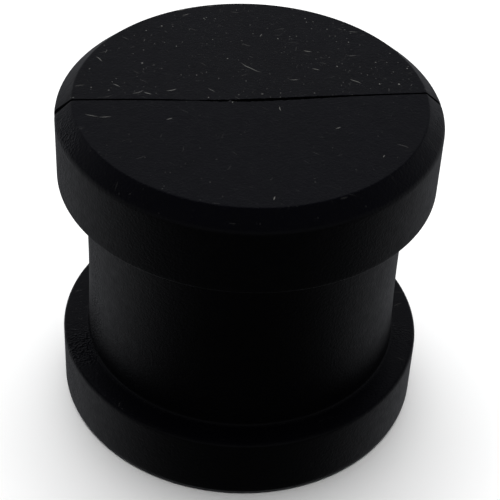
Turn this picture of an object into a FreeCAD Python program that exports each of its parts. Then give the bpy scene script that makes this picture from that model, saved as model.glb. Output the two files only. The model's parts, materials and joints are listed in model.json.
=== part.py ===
"""Two-part moulded rubber grommet for a cable hole in a desk top.

Two identical half mouldings meet on the plane Y = 0, where the slit is. Each one has two locating pegs on
one side and two sockets on the other, so one moulding, turned half a turn about Z, mates with a second one.
Together they make a spool: a chamfered flange above the desk top, a waist that fills the hole, and a flange
below it. The spool is hollow and open underneath. Two flexible lips close its top, and cables leave between
them.

Frame, in millimetres: +Z up, origin on the spool's axis at the base flange's underside, slit along X.
"""

import FreeCAD, Part
import math
import os

# ---- overall sizes -------------------------------------------------------------------------------
TOP_FLANGE_DIAMETER = 60.0
TOP_FLANGE_HEIGHT = 13.7
BASE_FLANGE_DIAMETER = 60.0
BASE_FLANGE_HEIGHT = 11.4
WAIST_DIAMETER = 51.6  # at its two ends: a press in a 50.8 mm (2 in) hole
WAIST_HEIGHT = 31.75  # the thickness of the desk top, 1 1/4 in
WAIST_DISH = 0.6  # how far the waist's sides lean in to its middle, before the turn there is rounded

# ---- edges ---------------------------------------------------------------------------------------
CHAMFER_WIDTH = 2.7  # of the top flange, measured on the radius
CHAMFER_HEIGHT = 2.4
CHAMFER_TOP_RADIUS = 0.5  # where the chamfer meets the top face
CHAMFER_RIM_RADIUS = 1.2  # where the chamfer meets the rim
RIM_LOWER_RADIUS = 0.4  # lower edge of the top flange
BASE_UPPER_RADIUS = 0.6
BASE_LOWER_RADIUS = 0.8
WAIST_UPPER_FILLET = 0.8
WAIST_LOWER_FILLET = 0.6

# ---- hollow, slit and lips -----------------------------------------------------------------------
BORE_DIAMETER = 39.0
MOUTH_CHAMFER = 2.0  # lead-in at the bottom of the bore
LIP_THICKNESS = 3.2  # the whole top plate, lips and shelf
LIP_REACH = 12.0  # from the middle of the slit to the line on which a lip bends
LIP_END_CLEARANCE = 0.3  # between the end of a lip and the moulding
LIP_PLACE_MARGIN = 0.3  # between the corners of a lip's place and the wall of the bore
LIP_ROOT_CLEARANCE = 0.15  # between the round root of a lip and its seat
SPLIT_GAP = 0.4  # between the two halves, and so the width of the slit

# ---- locating pegs -------------------------------------------------------------------------------
PEG_DIAMETER = 4.0
PEG_LENGTH = 5.0
PEG_LEAD = 0.6  # chamfer on the tip of a peg
PEG_CLEARANCE = 0.1  # radial, between a peg and its socket
SOCKET_EXTRA_DEPTH = 0.6

# ---- worked out from the sizes above -------------------------------------------------------------
TOP_RADIUS = TOP_FLANGE_DIAMETER / 2
BASE_RADIUS = BASE_FLANGE_DIAMETER / 2
WAIST_RADIUS = WAIST_DIAMETER / 2
BORE_RADIUS = BORE_DIAMETER / 2
SHOULDER_Z = BASE_FLANGE_HEIGHT  # upper face of the base flange
SEAT_Z = SHOULDER_Z + WAIST_HEIGHT  # underside of the top flange, on the desk top
TOP_Z = SEAT_Z + TOP_FLANGE_HEIGHT
CEILING_Z = TOP_Z - LIP_THICKNESS  # underside of the top plate
HALF_GAP = SPLIT_GAP / 2
LIP_ROOT_RADIUS = LIP_THICKNESS / 2
LIP_AXIS_Z = TOP_Z - LIP_ROOT_RADIUS
LIP_SEAT_RADIUS = LIP_ROOT_RADIUS + LIP_ROOT_CLEARANCE
LIP_CORNER_RADIUS = BORE_RADIUS - LIP_PLACE_MARGIN
LIP_PLACE_LENGTH = 2 * math.sqrt(LIP_CORNER_RADIUS**2 - (LIP_REACH + LIP_SEAT_RADIUS) ** 2)
LIP_LENGTH = LIP_PLACE_LENGTH - 2 * LIP_END_CLEARANCE  # the longest lip that can swing down the bore
SOCKET_RADIUS = PEG_DIAMETER / 2 + PEG_CLEARANCE
PEG_PLACES = [  # X and Z of the two pegs of one half, each in the middle of its flange's wall
    ((BORE_RADIUS + BASE_RADIUS) / 2, BASE_FLANGE_HEIGHT / 2),
    ((BORE_RADIUS + TOP_RADIUS) / 2, SEAT_Z + (TOP_FLANGE_HEIGHT - CHAMFER_HEIGHT) / 2),
]

AXIS_X = FreeCAD.Vector(1, 0, 0)
AXIS_Y = FreeCAD.Vector(0, 1, 0)
AXIS_Z = FreeCAD.Vector(0, 0, 1)
ORIGIN = FreeCAD.Vector(0, 0, 0)
OVER = 1.0  # how far a cutting solid runs past the face it cuts


def rounded_outline(corners):
    """A closed wire in the XZ plane through corners (x, z, radius), each rounded by its own radius."""
    points = [FreeCAD.Vector(x, 0, z) for x, z, _ in corners]
    count = len(points)
    starts, ends, edges = [], [], []
    for i, (_, _, radius) in enumerate(corners):
        here = points[i]
        back = (points[i - 1] - here).normalize()
        ahead = (points[(i + 1) % count] - here).normalize()
        if radius == 0:
            starts.append(here)
            ends.append(here)
            continue
        half_angle = back.getAngle(ahead) / 2
        reach = radius / math.tan(half_angle)
        middle = here + (back + ahead).normalize() * (radius / math.sin(half_angle) - radius)
        starts.append(here + back * reach)
        ends.append(here + ahead * reach)
        edges.append(Part.Arc(starts[i], middle, ends[i]).toShape())
    for i in range(count):
        follower = (i + 1) % count
        if ends[i].distanceToPoint(starts[follower]) > 1e-6:
            edges.append(Part.LineSegment(ends[i], starts[follower]).toShape())
    return Part.Wire(Part.__sortEdges__(edges))


def spool_outline():
    """Half section of the spool: up the outside, across the top plate, and down the bore."""
    waist_middle = SHOULDER_Z + WAIST_HEIGHT / 2
    half_turn = math.atan(WAIST_DISH / (WAIST_HEIGHT / 2))
    dish_radius = 0.85 * (WAIST_HEIGHT / 2 - WAIST_UPPER_FILLET - WAIST_LOWER_FILLET) / math.tan(half_turn)
    return rounded_outline(
        [
            (BORE_RADIUS + MOUTH_CHAMFER, 0, 0),
            (BASE_RADIUS, 0, BASE_LOWER_RADIUS),
            (BASE_RADIUS, SHOULDER_Z, BASE_UPPER_RADIUS),
            (WAIST_RADIUS, SHOULDER_Z, WAIST_LOWER_FILLET),
            (WAIST_RADIUS - WAIST_DISH, waist_middle, dish_radius),
            (WAIST_RADIUS, SEAT_Z, WAIST_UPPER_FILLET),
            (TOP_RADIUS, SEAT_Z, RIM_LOWER_RADIUS),
            (TOP_RADIUS, TOP_Z - CHAMFER_HEIGHT, CHAMFER_RIM_RADIUS),
            (TOP_RADIUS - CHAMFER_WIDTH, TOP_Z, CHAMFER_TOP_RADIUS),
            (0, TOP_Z, 0),
            (0, CEILING_Z, 0),
            (BORE_RADIUS, CEILING_Z, 0),
            (BORE_RADIUS, MOUTH_CHAMFER, 0),
        ]
    )


def cylinder_along(axis, radius, length, x, y, z):
    """A cylinder of this length that starts at (x, y, z) and runs along axis."""
    return Part.makeCylinder(radius, length, FreeCAD.Vector(x, y, z), axis)


def block(x0, y0, z0, x1, y1, z1):
    """A box from its lowest to its highest corner."""
    return Part.makeBox(x1 - x0, y1 - y0, z1 - z0, FreeCAD.Vector(x0, y0, z0))


def flap(length, root_radius, z0, z1):
    """A flap of this length along the slit, from the middle plane back to a round root, from z0 to z1."""
    plate = block(-length / 2, -LIP_REACH, z0, length / 2, 0, z1)
    root = cylinder_along(AXIS_X, root_radius, length, -length / 2, -LIP_REACH, LIP_AXIS_Z)
    return plate.fuse(root).removeSplitter()


def peg(x, z):
    """A locating peg that stands out of the mating face towards +Y, with a chamfered tip."""
    root_y = -HALF_GAP - OVER
    shank = cylinder_along(AXIS_Y, PEG_DIAMETER / 2, PEG_LENGTH + OVER - PEG_LEAD, x, root_y, z)
    tip = Part.makeCone(
        PEG_DIAMETER / 2,
        PEG_DIAMETER / 2 - PEG_LEAD,
        PEG_LEAD,
        FreeCAD.Vector(x, -HALF_GAP + PEG_LENGTH - PEG_LEAD, z),
        AXIS_Y,
    )
    return shank.fuse(tip)


def socket(x, z):
    """The hole in the mating face that takes the other half's peg, from the mating face towards -Y."""
    depth = PEG_LENGTH - SPLIT_GAP + SOCKET_EXTRA_DEPTH
    return cylinder_along(AXIS_Y, SOCKET_RADIUS, depth + OVER, x, -HALF_GAP - depth, z)


def half_moulding():
    """The front half, on the -Y side: half a spool, the lip's place cut out, pegs at +X, sockets at -X."""
    solid = Part.Face(spool_outline()).revolve(ORIGIN, AXIS_Z, 360)
    reach = max(TOP_RADIUS, BASE_RADIUS) + OVER
    solid = solid.common(block(-reach, -reach, -OVER, reach, -HALF_GAP, TOP_Z + OVER))
    solid = solid.cut(flap(LIP_PLACE_LENGTH, LIP_SEAT_RADIUS, CEILING_Z - OVER, TOP_Z + OVER))
    for x, z in PEG_PLACES:
        solid = solid.fuse(peg(x, z))
        solid = solid.cut(socket(-x, z))
    return solid.removeSplitter()


def front_lip():
    """The front lip: a flap that ends at the slit."""
    zone = flap(LIP_LENGTH, LIP_ROOT_RADIUS, CEILING_Z, TOP_Z)
    return zone.common(block(-BORE_RADIUS, -BORE_RADIUS, CEILING_Z, BORE_RADIUS, -HALF_GAP, TOP_Z))


def half_turned(shape):
    """The same shape turned half a turn about the spool's axis."""
    turned = shape.copy()
    turned.rotate(ORIGIN, AXIS_Z, 180)
    return turned


def main():
    half, lip = half_moulding(), front_lip()
    nodes = {
        "front_half": half,
        "rear_half": half_turned(half),
        "front_lip": lip,
        "rear_lip": half_turned(lip),
    }
    os.makedirs("parts", exist_ok=True)
    for name, shape in nodes.items():
        solids = shape.Solids
        state = "valid" if shape.isValid() else "INVALID"
        print(name, len(solids), "solid", round(shape.Volume, 1), "mm3", state)
        Part.makeCompound(solids).exportStep(f"parts/{name}.step")


main()
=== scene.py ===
"""Finished surfaces, rubber and studio for a split desk grommet, laid out as a Blender add-on."""

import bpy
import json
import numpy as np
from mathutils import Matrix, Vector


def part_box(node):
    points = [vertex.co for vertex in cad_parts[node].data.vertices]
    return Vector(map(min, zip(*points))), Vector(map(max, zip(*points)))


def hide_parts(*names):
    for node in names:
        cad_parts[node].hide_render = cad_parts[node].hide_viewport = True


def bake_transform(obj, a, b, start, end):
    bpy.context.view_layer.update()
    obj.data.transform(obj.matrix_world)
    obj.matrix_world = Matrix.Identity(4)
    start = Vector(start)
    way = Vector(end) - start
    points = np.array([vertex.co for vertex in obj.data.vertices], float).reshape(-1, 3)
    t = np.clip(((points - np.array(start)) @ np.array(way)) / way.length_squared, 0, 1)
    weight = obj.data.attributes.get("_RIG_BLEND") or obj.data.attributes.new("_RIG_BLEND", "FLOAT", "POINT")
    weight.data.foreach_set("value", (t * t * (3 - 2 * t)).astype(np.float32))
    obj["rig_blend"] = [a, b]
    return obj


bl_info = {
    "name": "Desk grommet",
    "version": (1, 0, 0),
    "blender": (4, 5, 0),
    "location": "3D View > Sidebar > Grommet",
    "description": "Skins, rubber and studio for a desk grommet moulded in two halves",
    "category": "Object",
}

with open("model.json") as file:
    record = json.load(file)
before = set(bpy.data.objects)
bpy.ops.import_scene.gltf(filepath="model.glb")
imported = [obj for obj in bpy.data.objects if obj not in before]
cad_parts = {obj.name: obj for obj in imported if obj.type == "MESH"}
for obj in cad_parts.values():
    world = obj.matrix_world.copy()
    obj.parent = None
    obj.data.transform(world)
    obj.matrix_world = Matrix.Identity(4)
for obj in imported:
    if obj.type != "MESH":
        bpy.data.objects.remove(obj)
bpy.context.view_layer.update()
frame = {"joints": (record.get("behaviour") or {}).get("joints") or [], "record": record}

import json
import math

import bmesh
import bpy
import numpy as np
from bpy.props import FloatProperty, FloatVectorProperty, PointerProperty
from mathutils import Matrix, Vector

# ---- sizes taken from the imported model, in metres --------------------------------------------------
MM = 0.001
HALF_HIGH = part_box("front_half")[1]
LIP_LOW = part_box("front_lip")[0]
MOUNTS = {m["name"]: m for m in frame["record"]["mounts"]}
JOINTS = {j["name"]: j for j in frame["joints"]}
FLANGE_RADIUS = HALF_HIGH.x
TOP_Z = HALF_HIGH.z
SEAT_Z = MOUNTS["desk_seat"]["pos_m"][2]  # underside of the top flange
CEILING_Z = LIP_LOW.z  # underside of the top plate
HINGE_Y = JOINTS["front_lip_bend"]["pos_m"][1]


def length(name, description, millimetres):
    """A length property whose default is given in millimetres."""
    return FloatProperty(
        name=name, description=description, default=millimetres * MM, unit="LENGTH", precision=5
    )


def linear(hex_colour):
    """An sRGB hex colour as linear red, green and blue."""
    parts = [int(hex_colour[k : k + 2], 16) / 255 for k in (1, 3, 5)]
    return tuple(c / 12.92 if c <= 0.04045 else ((c + 0.055) / 1.055) ** 2.4 for c in parts)


def colour(name, description, hex_colour):
    """A colour property whose default is an sRGB hex value."""
    return FloatVectorProperty(
        name=name, description=description, default=linear(hex_colour), subtype="COLOR", min=0, max=1
    )


class GrommetSizes(bpy.types.PropertyGroup):
    """Sizes of the moulding that its bounding box doesn't give."""

    base_height: length("Base flange height", "From the underside to the waist", 11.4)
    bore_radius: length("Bore radius", "Of the hollow that the cables come up", 19.5)
    mouth_chamfer: length("Mouth chamfer", "Lead-in at the bottom of the bore", 2.0)
    waist_radius: length("Waist radius", "Of the waist at its two ends", 25.8)
    waist_dish: length("Waist dish", "How far the waist's sides lean in to its middle", 0.6)
    chamfer_width: length("Chamfer width", "Of the top flange, along the radius", 2.7)
    chamfer_height: length("Chamfer height", "Of the top flange, along the axis", 2.4)
    peg_radius: length("Peg radius", "Of the locating pegs", 2.0)
    peg_length: length("Peg length", "From the mating face to the tip", 5.0)
    socket_radius: length("Socket radius", "Of the holes that take the pegs", 2.1)
    socket_depth: length("Socket depth", "From the mating face", 5.2)
    slit_narrow: length("Narrow slit", "Width of the slit near the rim", 0.36)
    slit_wide: length("Wide slit", "Width of the slit over the bore", 0.70)
    slit_bow: length("Slit bow", "How far the middle of the slit has crept to the front", 0.9)
    slit_edge: length("Slit edge", "Radius of the edges of a mating face", 0.06)


class GrommetColours(bpy.types.PropertyGroup):
    """Colours of the rubber, of what lies on it, and of the studio."""

    rubber: colour("Rubber", "Carbon-black rubber", "#030305")
    inside: colour("Inside", "Mating faces, pegs and bore, dulled by mould release", "#131314")
    bloom: colour("Bloom", "Wax that has come out of the rubber, as a faint haze", "#040408")
    dust: colour("Dust", "Specks and lint", "#8f8f8a")
    floor: colour("Floor", "Plain pale floor", "#f4f4f4")


# ---- the moulding's surfaces -----------------------------------------------------------------------
PLATE_CELLS = 84  # along the slit, from the axis to the bore's wall
WALL_CELLS = 26  # across a mating face, from the outside to the bore
TURN_CELLS = 132  # around the half turn
ARC_CELLS = 6
EDGE_CELLS = 3  # round each edge of a mating face
PEG_RINGS = 5
CLOSED_GAP = 0.02 * MM  # where the two halves press on each other

# Radii of the moulding's edges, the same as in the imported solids.
CHAMFER_TOP_RADIUS = 0.5 * MM  # where the chamfer meets the top face
CHAMFER_RIM_RADIUS = 1.2 * MM  # where the chamfer meets the rim
RIM_LOWER_RADIUS = 0.4 * MM
WAIST_UPPER_FILLET = 0.8 * MM
WAIST_LOWER_FILLET = 0.6 * MM
BASE_UPPER_RADIUS = 0.6 * MM
BASE_LOWER_RADIUS = 0.8 * MM
PEG_LEAD = 0.6 * MM  # chamfer on the tip of a peg


def unit(vector):
    """The vector over its own length."""
    return vector / np.linalg.norm(vector)


def rounded_run(corners):
    """Points along straight runs that tangent arcs join.

    A corner is (across, up, radius, cells): a run of that many equal cells leads to it, and an arc of its
    radius rounds it.
    """
    places = np.array([corner[:2] for corner in corners], float)
    here = places[0]
    pieces = [here[None]]
    for k in range(1, len(corners)):
        corner, (radius, cells) = places[k], corners[k][2:]
        start = end = corner
        if radius > 0:
            back, ahead = unit(places[k - 1] - corner), unit(places[k + 1] - corner)
            half = math.acos(back @ ahead) / 2
            start, end = corner + back * radius / math.tan(half), corner + ahead * radius / math.tan(half)
            centre = corner + unit(back + ahead) * radius / math.sin(half)
        pieces.append(here + (start - here) * np.linspace(0, 1, cells + 1)[1:, None])
        if radius > 0:
            turn = math.pi - 2 * half
            t = np.linspace(0, 1, ARC_CELLS + 1)[1:, None] * turn
            swing = (start - centre) * np.sin(turn - t) + (end - centre) * np.sin(t)
            pieces.append(centre + swing / math.sin(turn))
        here = end
    return np.vstack(pieces)


def along(path):
    """Distance of each point of a path from its start, along the path."""
    return np.concatenate([[0], np.cumsum(np.linalg.norm(np.diff(path, axis=0), axis=1))])


def section(sizes):
    """The two sides of the moulding's wall: outer and inner points, paired from the axis down to the foot.

    The outer side is the top face, chamfer, rim, waist and base flange, as straight runs joined by arcs. The
    inner side is the ceiling and the bore. Both have as many points: a few corners of the outer side are
    matched to distances along the inner one, and the points between them are spread in proportion.
    """
    top, chamfer_z = TOP_Z, TOP_Z - sizes.chamfer_height
    rim, waist, bore = FLANGE_RADIUS, sizes.waist_radius, sizes.bore_radius
    shoulder = sizes.base_height
    middle = (shoulder + SEAT_Z) / 2
    lean = math.atan(sizes.waist_dish / (SEAT_Z - middle))
    dish = 0.85 * (SEAT_Z - middle - WAIST_UPPER_FILLET - WAIST_LOWER_FILLET) / math.tan(lean)
    corners = [
        (0, top, 0, 0),
        (bore, top, 0, PLATE_CELLS),
        (rim - sizes.chamfer_width, top, CHAMFER_TOP_RADIUS, 24),
        (rim, chamfer_z, CHAMFER_RIM_RADIUS, 6),
        (rim, SEAT_Z, RIM_LOWER_RADIUS, 22),
        (waist, SEAT_Z, WAIST_UPPER_FILLET, 5),
        (waist - sizes.waist_dish, middle, dish, 6),
        (waist, shoulder, WAIST_LOWER_FILLET, 6),
        (rim, shoulder, BASE_UPPER_RADIUS, 5),
        (rim, 0, BASE_LOWER_RADIUS, 20),
        (0, 0, 0, 0),
    ]
    outer = rounded_run(corners)[:-1]
    inner_path = np.array(
        [(0, CEILING_Z), (bore, CEILING_Z), (bore, sizes.mouth_chamfer), (bore + sizes.mouth_chamfer, 0)]
    )
    keys = np.array([corner[:2] for corner in corners])[[0, 1, 3, 4, 5, 7, 8, 9]]
    nearest = np.linalg.norm(outer[:, None] - keys[None], axis=2).argmin(axis=0)
    nearest[-1] = len(outer) - 1
    drop = CEILING_Z + bore  # the bore's wall at height z is this less z along the inner path
    ends = along(inner_path)[-1]
    partners = np.array(
        [0, bore, drop - CEILING_Z + 2 * MM, drop - SEAT_Z - 3 * MM, drop - SEAT_Z]
        + [drop - shoulder, drop - shoulder + 3 * MM, ends]
    )
    reach = along(outer)
    progress = np.interp(reach, reach[nearest], partners)
    inner = np.stack([np.interp(progress, along(inner_path), inner_path[:, c]) for c in (0, 1)], axis=1)
    return outer, inner


def smooth(low, high, value):
    """0 below low, 1 above high and an S-curve between them."""
    t = np.clip((value - low) / (high - low), 0, 1)
    return t * t * (3 - 2 * t)


def bell(value, centre, width):
    """A Gauss curve: 1 at the centre, and 1/e a width away from it."""
    return np.exp(-(((value - centre) / width) ** 2))


def ripple(x, pitch, phase):
    """A wandering line between about -1 and 1: sines whose wavelengths never meet, pitch the longest."""
    waves = ((1.0, 1.00), (1.71, 0.80), (2.93, 0.62), (4.37, 0.45))
    total = sum(a * np.sin(2 * np.pi * x * f / pitch + phase * (1 + f)) for f, a in waves)
    return total / 1.7


def slit_middle(x, z, sizes):
    """Y of the slit's middle: a bell bowed to the front over the bore, and a fourth power that turns back.

    With depth both give way to a sine of 8.6 mm: the mating faces are slightly wavy and shut out light.
    """
    spread = np.where(x < -2 * MM, 12 * MM, 15 * MM)
    bow = -sizes.slit_bow * bell(x, -2 * MM, spread) + 0.1 * MM * (x / (27 * MM)) ** 4
    deep = smooth(TOP_Z - 12 * MM, TOP_Z - 3 * MM, z)
    return bow * deep + 0.12 * MM * np.sin(2 * np.pi * x / (8.6 * MM)) * (1 - deep)


def slit_width(x, z, sizes):
    """Width of the slit along its length: narrow, nearly shut, suddenly wide over the bore, then tapering.

    Each change is an S-curve, and the nearly shut place is a bell. It gapes where it runs over the rim, and
    the two halves press shut 9 mm down.
    """
    narrow, wide = sizes.slit_narrow, sizes.slit_wide
    width = narrow * (1 - 0.55 * bell(x, -9 * MM, 1.6 * MM))
    opening = 0.3 * smooth(-6.9 * MM, -6.2 * MM, x) + 0.7 * smooth(-3.8 * MM, -0.8 * MM, x)
    width = width + (wide - narrow) * opening * (1 - smooth(5 * MM, 19 * MM, x))
    gape = 0.75 * MM * (1 - smooth(-30.4 * MM, -26.4 * MM, x))
    gape = gape + 0.4 * MM * smooth(26 * MM, 29 * MM, x)
    depth = smooth(TOP_Z - 9 * MM, TOP_Z - 2 * MM, z)
    return (width + gape) * depth + CLOSED_GAP * (1 - depth)


def edge_radius(z, sizes):
    """Radius of a mating face's edges: as moulded in the top flange, and pressed almost sharp below it."""
    return sizes.slit_edge * (0.1 + 0.9 * smooth(SEAT_Z, SEAT_Z + 4 * MM, z))


def slit_side(x, z, side, sizes):
    """Y of one side of the slit, for side -1 in front or 1 behind: half the width from the middle.

    To this comes a wandering line with two torn tabs on the front side, which fades with depth.
    """
    torn = 0.06 * MM * ripple(x, 1.9 * MM, 1.3 + side) * smooth(-8 * MM, -6 * MM, x)
    torn = torn * (1 - 0.8 * smooth(9 * MM, 14 * MM, x)) + 0.015 * MM * ripple(x, 2.6 * MM, 4.1 - side)
    if side < 0:
        torn = torn + 0.45 * MM * bell(x, -3.3 * MM, 0.16 * MM) + 0.30 * MM * bell(x, -2.7 * MM, 0.12 * MM)
    torn = torn * smooth(TOP_Z - 1.6 * MM, TOP_Z - 0.2 * MM, z)
    return slit_middle(x, z, sizes) + side * slit_width(x, z, sizes) / 2 + torn


def turned_surface(outer, inner, foot, edge):
    """The outline carried half a turn around the axis: x = r cos a, y = -r sin a, z = the outline's height.

    Near the slit it is drawn to the slit's edge: y gains the edge's place, fading out over 3 mm.
    """
    outline = np.vstack([outer, foot, inner[::-1]])
    t = np.linspace(0, 1, TURN_CELLS + 1)
    angle = np.pi * (t - 0.88 * np.sin(2 * np.pi * t) / (2 * np.pi))
    radius, height = outline[:, :1], outline[:, 1:]
    x = radius * np.cos(angle)[None]
    y = -radius * np.abs(np.sin(angle))[None]
    z = np.broadcast_to(height, x.shape)
    y = y + edge(x, z) * (1 - smooth(0, 3 * MM, -y))
    return np.stack([x, y, z], axis=-1)


def with_pegs(x, z, out, wall_rows, place, rings):
    """Draws a square block of a mating face's grid into a round peg or socket.

    The block's rings of points become circles around place, each with the radius and the height out of the
    face that rings lists, from the middle one outwards. The next two rings ease back to the plain grid.
    """
    rows, columns = np.indices(x.shape)
    away = np.hypot(x - place[0], z - place[1])
    row, column = np.unravel_index(np.where(wall_rows[:, None], away, np.inf).argmin(), x.shape)
    ring = np.maximum(abs(rows - row), abs(columns - column))
    radii, heights = np.array(rings).T
    radii = np.append(radii, [radii[-1] * 1.25, radii[-1] * 1.55])
    inside = ring < len(radii)
    ring = np.minimum(ring, len(radii) - 1)
    pull = np.interp(ring, [0, PEG_RINGS, PEG_RINGS + 2], [1, 1, 0.35]) * inside
    away = np.maximum(away, 1e-9)
    round_x = place[0] + (x - place[0]) / away * radii[ring]
    round_z = place[1] + (z - place[1]) / away * radii[ring]
    out = out + np.where(inside & (ring <= PEG_RINGS), np.append(heights, [0, 0])[ring], 0)
    return x + (round_x - x) * pull, z + (round_z - z) * pull, out


def mating_face(outer, inner, edge, sizes):
    """The face where the two halves meet, as a strip across the wall that runs up one leg and down the other.

    A point is a share of the way from the outer to the inner side, on the slit's side. Its two edges are
    rounded: within the edge radius of either side it falls back on a quarter circle.
    """
    outer = np.vstack([outer[:0:-1] * (-1, 1), outer])
    inner = np.vstack([inner[:0:-1] * (-1, 1), inner])
    rounding = edge_radius(outer[:, 1:], sizes)
    turn = np.linspace(0, np.pi / 2, EDGE_CELLS + 1)[None]
    near = rounding * (1 - np.cos(turn))
    fall = rounding * (1 - np.sin(turn))
    across = np.linalg.norm(inner - outer, axis=1)[:, None]
    plain = np.linspace(0, 1, WALL_CELLS - 2 * EDGE_CELLS + 1)[None, 1:-1]
    flat = near[:, -1:] + (across - 2 * near[:, -1:]) * plain
    reach = np.hstack([near, flat, across - near[:, ::-1]]) / across
    back = np.hstack([fall, np.zeros_like(flat), fall[:, ::-1]])
    x = outer[:, :1] + (inner - outer)[:, :1] * reach
    z = outer[:, 1:] + (inner - outer)[:, 1:] * reach
    out = rounding - back
    out[[0, -1]] = 0
    rows = np.arange(len(x))
    right = rows > len(x) // 2
    wall = (sizes.bore_radius + FLANGE_RADIUS) / 2
    places = [(wall, sizes.base_height / 2), (wall, (SEAT_Z + TOP_Z - sizes.chamfer_height) / 2)]
    peg, hole = sizes.peg_radius, sizes.socket_radius
    long, deep = sizes.peg_length, -sizes.socket_depth
    peg_rings = [(0, long), (0.3 * peg, long), (0.55 * peg, long)]
    peg_rings += [(peg - PEG_LEAD, long), (peg, long - PEG_LEAD), (peg, 0)]
    hole_rings = [(0, deep), (0.35 * hole, deep), (0.7 * hole, deep), (hole, deep), (hole, -0.2 * MM)]
    hole_rings.append((hole + 0.2 * MM, 0))
    for px, pz in places:
        x, z, out = with_pegs(x, z, out, right, (px, pz), peg_rings)
        x, z, out = with_pegs(x, z, out, ~right, (-px, pz), hole_rings)
    y = edge(x, z) + out
    return np.stack([x, y, z], axis=-1)


def grid_faces(shape, first):
    """Corner numbers of the four-sided cells of a grid of points, whose numbering starts at first."""
    index = first + np.arange(shape[0] * shape[1]).reshape(shape[:2])
    cells = [index[:-1, :-1], index[1:, :-1], index[1:, 1:], index[:-1, 1:]]
    return np.stack(cells, axis=-1).reshape(-1, 4)


def coordinates(mesh):
    """The places of a mesh's points, one row for each."""
    flat = np.empty(len(mesh.vertices) * 3)
    mesh.vertices.foreach_get("co", flat)
    return flat.reshape(-1, 3)


def closed_mesh(name, grids):
    """One closed mesh from grids of points that meet along their borders, with its faces turned outwards.

    Where the two halves press on each other, each keeps a sharp edge.
    """
    counts = np.cumsum([0] + [grid[..., 0].size for grid in grids])
    points = np.vstack([grid.reshape(-1, 3) for grid in grids])
    faces = np.vstack([grid_faces(grid.shape, first) for grid, first in zip(grids, counts)])
    mesh = bpy.data.meshes.new(name)
    mesh.from_pydata(points, [], faces)
    work = bmesh.new()
    work.from_mesh(mesh)
    bmesh.ops.remove_doubles(work, verts=work.verts, dist=1e-7)
    bmesh.ops.dissolve_degenerate(work, edges=work.edges, dist=1e-8)
    bmesh.ops.recalc_face_normals(work, faces=work.faces)
    work.to_mesh(mesh)
    work.free()
    mesh.shade_smooth()
    mesh.set_sharp_from_angle(angle=math.radians(38))
    ends = np.empty(len(mesh.edges) * 2, int)
    mesh.edges.foreach_get("vertices", ends)
    place = coordinates(mesh)[ends.reshape(-1, 2)]
    pressed = (place[..., 2].max(axis=1) < SEAT_Z) & (abs(place[..., 1]).max(axis=1) < 0.2 * MM)
    sharp = np.empty(len(mesh.edges), bool)
    mesh.attributes["sharp_edge"].data.foreach_get("value", sharp)
    mesh.attributes["sharp_edge"].data.foreach_set("value", sharp | pressed)
    return mesh


def set_share(mesh, name, values):
    """Stores one number for each point of a mesh, for its material to read."""
    mesh.attributes.new(name, "FLOAT", "POINT").data.foreach_set("value", values.astype(np.float32))


def worn_surfaces(mesh, side, outer):
    """Stores how much dust settles on each point, and where the rubber is pitted.

    Dust grows with how squarely a point faces up. The front half has been wiped, and less dust reaches the
    base flange. The pits lie in two bands up the front half: a bell around 12 degrees from the slit's left
    end, and a fainter one around 168 degrees. They spare the top face. What is further than about half a
    millimetre from the outline of the outside counts as inside.
    """
    normals = np.empty(len(mesh.vertices) * 3)
    mesh.vertex_normals.foreach_get("vector", normals)
    up = smooth(0.55, 0.95, normals.reshape(-1, 3)[:, 2])
    place = coordinates(mesh)
    from_axis = np.hypot(place[:, 0], place[:, 1])
    depth = np.full(len(place), np.inf)
    for across, up_to in outer:
        depth = np.minimum(depth, np.hypot(from_axis - across, place[:, 2] - up_to))
    set_share(mesh, "inside", smooth(0.35 * MM, 0.7 * MM, depth))
    top = place[:, 2] > CEILING_Z
    outside = np.where(top, 1.0, smooth(20.5 * MM, 22 * MM, from_axis))
    wiped = 1.0 if side > 0 else 0.17
    set_share(mesh, "settled_dust", up * outside * wiped * np.where(place[:, 2] > SEAT_Z, 1, 0.4))
    angle = np.degrees(np.arctan2(-place[:, 1], -place[:, 0]))
    trimmed = outside * np.where(top, smooth(27 * MM, 29 * MM, from_axis), 1)
    set_share(mesh, "pitted_band", trimmed * (bell(angle, 12, 8) + 0.3 * bell(angle, 168, 6)))


def half_skin(name, side):
    """One half moulding with its lip, for side -1 in front or 1 behind.

    Both are made as the front one. The rear one is then turned half a turn about Z.
    """
    sizes = bpy.context.scene.grommet_sizes
    outer, inner = section(sizes)

    def edge(x, z):
        turn = -side
        return -side * slit_side(turn * x, z, side, sizes) - edge_radius(z, sizes)

    strip = mating_face(outer, inner, edge, sizes)
    foot = strip[-1, 1:-1][:, [0, 2]]
    turned = turned_surface(outer, inner, foot, edge)
    mesh = closed_mesh(name, [turned, strip])
    if side > 0:
        mesh.transform(Matrix.Rotation(math.pi, 4, "Z"))
    worn_surfaces(mesh, side, outer)
    obj = bpy.data.objects.new(name, mesh)
    bpy.context.scene.collection.objects.link(obj)
    return obj


def bend_with_lip(obj, half, lip, side, sizes):
    """Lets the middle of the top plate bend with the lip.

    It is multiplied by a share that falls from 1 in the middle of the bore to 0 at its wall, because the
    plate is held all round the bore.
    """
    root = side * abs(HINGE_Y)
    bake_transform(obj, half, lip, start=(0, root * 1.3, TOP_Z), end=(0, root * 0.35, TOP_Z))
    share = np.empty(len(obj.data.vertices), np.float32)
    obj.data.attributes["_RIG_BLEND"].data.foreach_get("value", share)
    place = coordinates(obj.data)
    from_axis = np.hypot(place[:, 0], place[:, 1])
    held = 1 - smooth(0.45 * sizes.bore_radius, 0.97 * sizes.bore_radius, from_axis)
    above = smooth(CEILING_Z - 0.5 * MM, CEILING_Z - 0.1 * MM, place[:, 2])
    obj.data.attributes["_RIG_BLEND"].data.foreach_set("value", (share * held * above).astype(np.float32))


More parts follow.
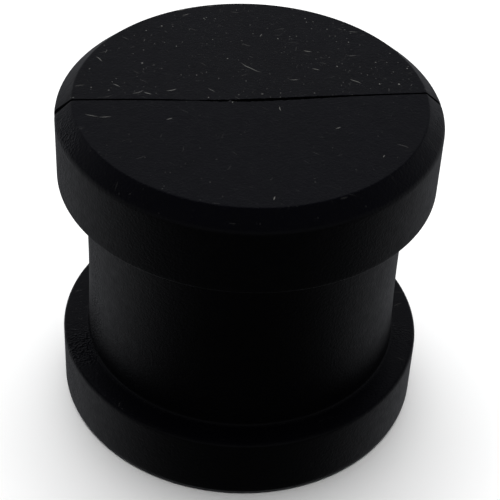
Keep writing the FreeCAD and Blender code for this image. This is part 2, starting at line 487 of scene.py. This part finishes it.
# ---- materials -------------------------------------------------------------------------------------
def add_node(tree, kind, links=None, **settings):
    """Adds a shader node, gives its named settings and sockets their values, and links its inputs.

    A setting whose name is an attribute of the node is set there, and any other is an input's name.
    """
    node = tree.nodes.new("ShaderNode" + kind)
    for key, value in settings.items():
        if hasattr(node, key):
            setattr(node, key, value)
        else:
            node.inputs[key.replace("_", " ")].default_value = value
    for key, source in (links or {}).items():
        tree.links.new(source, node.inputs[key])
    return node


def scattered(tree, place, cell, largest, share, turn=0.0, shift=0.0, flat=True):
    """Spots scattered one to a cell, as a mask from 0 to 1.

    cell is a spot's room along its length, across it and in height, in millimetres. largest is the biggest
    radius as a share of the cell, and share is the share of the cells that hold one. A long cell turns its
    spot into a fibre, laid at the given turn.
    """
    room = add_node(
        tree,
        "Mapping",
        {"Vector": place},
        vector_type="TEXTURE",
        Location=(shift * MM, 0, 0),
        Rotation=(0, 0, math.radians(turn)),
        Scale=tuple(c * MM for c in cell),
    )
    cells = add_node(
        tree, "TexVoronoi", {"Vector": room.outputs[0]}, voronoi_dimensions="2D" if flat else "3D", Scale=1.0
    )
    chance = add_node(tree, "SeparateColor", {0: cells.outputs["Color"]}).outputs
    radius = add_node(tree, "MapRange", {0: chance[0]}, From_Min=1 - share, From_Max=1.0, To_Max=largest)
    inside = combined(tree, "SUBTRACT", radius.outputs[0], cells.outputs["Distance"])
    spot = add_node(tree, "MapRange", {0: inside}, From_Max=0.35 * largest)
    few_bright = combined(tree, "POWER", chance[1], 4.0)
    bright = combined(tree, "ADD", combined(tree, "MULTIPLY", few_bright, 0.9), 0.10)
    return combined(tree, "MULTIPLY", spot.outputs[0], bright)


def combined(tree, operation, *values):
    """Folds sockets and numbers together with one sum, from left to right."""
    total = values[0]
    for value in values[1:]:
        node = add_node(tree, "Math", operation=operation)
        for socket, part in zip(node.inputs, (total, value)):
            if isinstance(part, (int, float)):
                socket.default_value = part
            else:
                tree.links.new(part, socket)
        total = node.outputs[0]
    return total


LINT_CURL_MM = 1.1  # how far the noise that curls lint can move it
FIBRE_HALF_WIDTH = 0.11 * MM

# Loose fibres on the top face: middle x and y, length, all in millimetres, and direction in degrees.
FIBRES = (
    (0.7, 8.0, 4.4, -43),
    (-24.2, -4.1, 2.6, -20),
    (-22.2, -4.6, 2.0, 4),
    (-20.5, 3.8, 1.8, -36),
    (10.9, 7.3, 1.5, -15),
    (7.1, 4.3, 1.6, -12),
    (16.7, 3.6, 2.2, -43),
    (-22.8, 11.0, 2.0, -52),
    (4.3, -3.4, 1.4, -80),
    (1.0, -25.3, 1.0, 70),
    (-3.1, -1.3, 0.5, 75),
    (-2.4, -1.2, 0.4, 60),
    (-12.6, -5.2, 1.0, 12),
    (12.4, -8.6, 1.1, 24),
    (18.2, -15.8, 0.7, 78),
)


def lone_fibre(tree, place, x, y, long, turn):
    """One fibre at a chosen place: an ellipse 0.22 mm wide, as a mask from 0 to 1."""
    room = add_node(
        tree,
        "Mapping",
        {"Vector": place},
        vector_type="TEXTURE",
        Location=(x * MM, y * MM, TOP_Z),
        Rotation=(0, 0, math.radians(turn)),
        Scale=(long * MM / 2, FIBRE_HALF_WIDTH, 3 * MM),
    )
    reach = add_node(tree, "VectorMath", {0: room.outputs[0]}, operation="LENGTH").outputs["Value"]
    return add_node(tree, "MapRange", {0: reach}, From_Min=1.0, From_Max=0.45).outputs[0]


def moulded_rubber(colours):
    """Carbon-black EPDM rubber, compression moulded in a bead-blasted mould and trimmed by hand.

    It gives the eye a near-black face with a soft, broad sheen at grazing angles, a fine even grain with a
    faint wax haze, rough pits where it was trimmed, and a little dust and lint on what faces up.
    """
    material = bpy.data.materials.new("moulded_epdm_rubber")
    material.use_nodes = True
    tree = material.node_tree
    tree.nodes.clear()
    place = add_node(tree, "TexCoord").outputs["Object"]
    settled = add_node(tree, "Attribute", attribute_name="settled_dust").outputs["Fac"]
    pitted = add_node(tree, "Attribute", attribute_name="pitted_band").outputs["Fac"]

    # Lint curls, so what places it wanders by up to half a millimetre every few millimetres. The noise that
    # curls it is a half on average, so half of the curl is added to a fibre's place to draw it where listed.
    curl = add_node(tree, "TexNoise", {"Vector": place}, Scale=1 / (2.6 * MM), Detail=1.0)
    curled = add_node(tree, "VectorMath", {0: curl.outputs["Color"], 2: place}, operation="MULTIPLY_ADD")
    curled.inputs[1].default_value = (LINT_CURL_MM * MM, LINT_CURL_MM * MM, 0)
    curled = curled.outputs[0]
    lint = [scattered(tree, curled, (2.4, 0.32, 1), 0.45, 0.020, turn, turn) for turn in (-38, -8, 24, 71)]
    specks = [
        scattered(tree, place, (0.9, 0.9, 1), 0.22, 0.12),
        scattered(tree, place, (0.5, 0.5, 1), 0.30, 0.10, 31, 4),
    ]
    on_walls = scattered(tree, place, (1.3, 1.3, 1.3), 0.16, 0.10, flat=False)
    half_curl = LINT_CURL_MM / 2
    fibres = [
        lone_fibre(tree, curled, x + half_curl, y + half_curl, long, turn) for x, y, long, turn in FIBRES
    ]
    loose = combined(tree, "MAXIMUM", *lint, *specks)
    dust = combined(tree, "MULTIPLY", loose, settled, 0.42)
    dust = combined(tree, "MAXIMUM", dust, *(combined(tree, "MULTIPLY", fibre, 0.30) for fibre in fibres))
    film = combined(tree, "MULTIPLY", settled, 0.0025)
    dust = combined(tree, "MAXIMUM", dust, film, combined(tree, "MULTIPLY", on_walls, 0.05))

    bloom = add_node(tree, "TexNoise", {"Vector": place}, Scale=1 / (9 * MM), Detail=3.0)
    body = add_node(
        tree, "MixRGB", {0: bloom.outputs[0]}, Color1=(*colours.rubber, 1), Color2=(*colours.bloom, 1)
    )
    inside = add_node(tree, "Attribute", attribute_name="inside").outputs["Fac"]
    body = add_node(tree, "MixRGB", {0: inside, 1: body.outputs[0]}, Color2=(*colours.inside, 1))
    dusty = add_node(tree, "MixRGB", {0: dust, 1: body.outputs[0]}, Color2=(*colours.dust, 1))

    # Grain as the mould left it, drawn 0.4 mm wide because the real 0.1 mm is too fine to show. The trimmed
    # bands have torn pits of 0.4 mm.
    grain = add_node(tree, "TexNoise", {"Vector": place}, Scale=1 / (0.42 * MM), Detail=2.0)
    torn = add_node(tree, "TexVoronoi", {"Vector": place}, Scale=1 / (0.38 * MM))
    pits = combined(tree, "MULTIPLY", combined(tree, "POWER", torn.outputs["Distance"], 2.0), pitted, 4.5)
    scuffs = add_node(tree, "TexNoise", {"Vector": place}, Scale=1 / (1.4 * MM), Detail=4.0, Roughness=0.65)
    height = combined(tree, "ADD", grain.outputs[0], pits, combined(tree, "MULTIPLY", dust, 2.0))
    bump = add_node(tree, "Bump", {"Height": height}, Strength=0.95, Distance=0.06 * MM)
    rough = add_node(
        tree, "MapRange", {0: scuffs.outputs[0]}, From_Min=0.3, From_Max=0.7, To_Min=0.41, To_Max=0.51
    )
    shader = add_node(
        tree,
        "BsdfPrincipled",
        {"Base Color": dusty.outputs[0], "Roughness": rough.outputs[0], "Normal": bump.outputs[0]},
        IOR=1.5,
    )
    add_node(tree, "OutputMaterial", {"Surface": shader.outputs[0]})
    return material


def plain_floor(colours):
    """Matt painted board: an even, pale ground with no sheen."""
    material = bpy.data.materials.new("matt_painted_board")
    material.use_nodes = True
    shader = material.node_tree.nodes["Principled BSDF"]
    shader.inputs["Base Color"].default_value = (*colours.floor, 1)
    shader.inputs["Roughness"].default_value = 0.9
    shader.inputs["Specular IOR Level"].default_value = 0.0
    return material


# ---- operators -------------------------------------------------------------------------------------
class GROMMET_OT_halves(bpy.types.Operator):
    """Makes the two half mouldings, each with its lip, and their rubber"""

    bl_idname = "grommet.halves"
    bl_label = "Halves"

    def execute(self, context):
        sizes = context.scene.grommet_sizes
        rubber = moulded_rubber(context.scene.grommet_colours)
        for side, word in ((-1, "front"), (1, "rear")):
            half, lip = word + "_half", word + "_lip"
            obj = half_skin(word + "_half_skin", side)
            obj.data.materials.append(rubber)
            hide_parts(half, lip)
            bend_with_lip(obj, half, lip, side, sizes)
        return {"FINISHED"}


# The camera, from the middle of the top face: where it stands, and how it is aimed.
CAMERA_DISTANCE = 7.99 * FLANGE_RADIUS
CAMERA_ELEVATION = math.radians(34.34)
CAMERA_AZIMUTH = math.radians(-7.02)
CAMERA_PITCH = math.radians(39.94)
CAMERA_HEADING = math.radians(7.34)
CAMERA_ROLL = math.radians(3.10)
CAMERA_LENS_MM = 112.4


def aimed_camera():
    """A camera at the given distance and direction from the top face, pitched, turned and rolled."""
    ground = CAMERA_DISTANCE * math.cos(CAMERA_ELEVATION)
    stand = Vector(
        (
            ground * math.sin(CAMERA_AZIMUTH),
            -ground * math.cos(CAMERA_AZIMUTH),
            TOP_Z + CAMERA_DISTANCE * math.sin(CAMERA_ELEVATION),
        )
    )
    level = math.cos(CAMERA_PITCH)
    ahead = Vector(
        (math.sin(CAMERA_HEADING) * level, math.cos(CAMERA_HEADING) * level, -math.sin(CAMERA_PITCH))
    )
    right = ahead.cross(Vector((0, 0, 1))).normalized()
    up = right.cross(ahead)
    rolled_right = right * math.cos(CAMERA_ROLL) + up * math.sin(CAMERA_ROLL)
    rolled_up = up * math.cos(CAMERA_ROLL) - right * math.sin(CAMERA_ROLL)
    data = bpy.data.cameras.new("camera")
    data.lens = CAMERA_LENS_MM
    data.clip_start = 0.01
    camera = bpy.data.objects.new("camera", data)
    turn = Matrix((rolled_right, rolled_up, -ahead)).transposed()
    camera.matrix_world = Matrix.Translation(stand) @ turn.to_4x4()
    bpy.context.scene.collection.objects.link(camera)
    bpy.context.scene.camera = camera


# Strengths of what the rubber mirrors, and the overhead light.
GROUND_LIGHT = 0.25
CARD_LIGHT = 0.120
HORIZON_LIGHT = 0.07
ROOM_LIGHT = 0.009  # the same from all round
OVERHEAD_STRENGTH = 4.4
OVERHEAD_SPREAD = math.radians(70)
OVERHEAD_TILT = math.radians(-18)
FLOOR_REACH = 1.5  # half the floor's side, in metres


def studio_world():
    """What the rubber mirrors: pale ground at the sides and behind, a card up behind, and a dim horizon.

    Well below eye level the light is an S-curve along +Y, so it is dark in front. High up it is a steeper
    S-curve along +Y that falls off to the left and right. Between them runs a dim band all the way round.
    """
    world = bpy.data.worlds.new("studio")
    world.use_nodes = True
    tree = world.node_tree
    tree.nodes.clear()
    axes = add_node(tree, "SeparateXYZ", {0: add_node(tree, "TexCoord").outputs["Generated"]}).outputs

    def share(value, low, high, at_low, at_high):
        """An S-curve from one strength to the other as value goes from low to high."""
        node = add_node(
            tree, "MapRange", {0: value}, interpolation_type="SMOOTHSTEP", From_Min=low, From_Max=high
        )
        node.inputs["To Min"].default_value = at_low
        node.inputs["To Max"].default_value = at_high
        return node.outputs[0]

    aside = combined(tree, "ABSOLUTE", axes["X"], 0.0)
    ground = share(axes["Y"], -0.46, 0.42, 0.0, GROUND_LIGHT)
    card = combined(
        tree, "MULTIPLY", share(axes["Y"], 0.1, 0.75, 0.0, CARD_LIGHT), share(aside, 0.15, 0.8, 1.0, 0.15)
    )
    above = share(axes["Z"], -0.15, 0.25, 0.0, 1.0)
    below = share(axes["Z"], -0.15, 0.25, 1.0, 0.0)
    rise = share(axes["Z"], -0.36, -0.08, 0.0, HORIZON_LIGHT)
    horizon = combined(tree, "MULTIPLY", rise, share(axes["Z"], 0.35, 0.6, 1.0, 0.0))
    light = combined(
        tree,
        "ADD",
        combined(tree, "MULTIPLY", ground, below),
        combined(tree, "MULTIPLY", card, above),
        horizon,
        ROOM_LIGHT,
    )
    background = add_node(tree, "Background", {"Strength": light}, Color=(0.92, 0.94, 1.0, 1))
    add_node(tree, "OutputWorld", {"Surface": background.outputs[0]})
    return world


class GROMMET_OT_stage(bpy.types.Operator):
    """Makes the camera, the floor, the lights and the world"""

    bl_idname = "grommet.stage"
    bl_label = "Stage"

    def execute(self, context):
        scene = context.scene
        aimed_camera()
        mesh = bpy.data.meshes.new("floor")
        corners = ((-1, -1), (1, -1), (1, 1), (-1, 1))
        mesh.from_pydata([(x * FLOOR_REACH, y * FLOOR_REACH, 0) for x, y in corners], [], [(0, 1, 2, 3)])
        floor = bpy.data.objects.new("floor", mesh)
        floor.data.materials.append(plain_floor(scene.grommet_colours))
        floor.visible_glossy = False
        floor.visible_diffuse = False
        scene.collection.objects.link(floor)
        sun = bpy.data.lights.new("overhead", "SUN")
        sun.energy = OVERHEAD_STRENGTH
        sun.angle = OVERHEAD_SPREAD
        light = bpy.data.objects.new("overhead", sun)
        light.rotation_euler = (OVERHEAD_TILT, 0, 0)
        light.visible_glossy = False
        scene.collection.objects.link(light)
        scene.world = studio_world()
        scene.view_settings.view_transform = "Standard"
        return {"FINISHED"}


class GROMMET_PT_panel(bpy.types.Panel):
    """Lists what the grommet is made of"""

    bl_idname = "GROMMET_PT_panel"
    bl_label = "Desk grommet"
    bl_space_type = "VIEW_3D"
    bl_region_type = "UI"
    bl_category = "Grommet"

    def draw(self, context):
        for operator in OPERATORS:
            self.layout.operator(operator.bl_idname)
        for group in (context.scene.grommet_sizes, context.scene.grommet_colours):
            for name in group.__annotations__:
                self.layout.prop(group, name)


OPERATORS = (GROMMET_OT_halves, GROMMET_OT_stage)
CLASSES = (GrommetSizes, GrommetColours, *OPERATORS, GROMMET_PT_panel)


def register():
    for cls in CLASSES:
        bpy.utils.register_class(cls)
    bpy.types.Scene.grommet_sizes = PointerProperty(type=GrommetSizes)
    bpy.types.Scene.grommet_colours = PointerProperty(type=GrommetColours)


def unregister():
    del bpy.types.Scene.grommet_colours
    del bpy.types.Scene.grommet_sizes
    for cls in reversed(CLASSES):
        bpy.utils.unregister_class(cls)


def main():
    register()
    bpy.ops.grommet.halves()
    bpy.ops.grommet.stage()


if __name__ == "__main__":
    main()
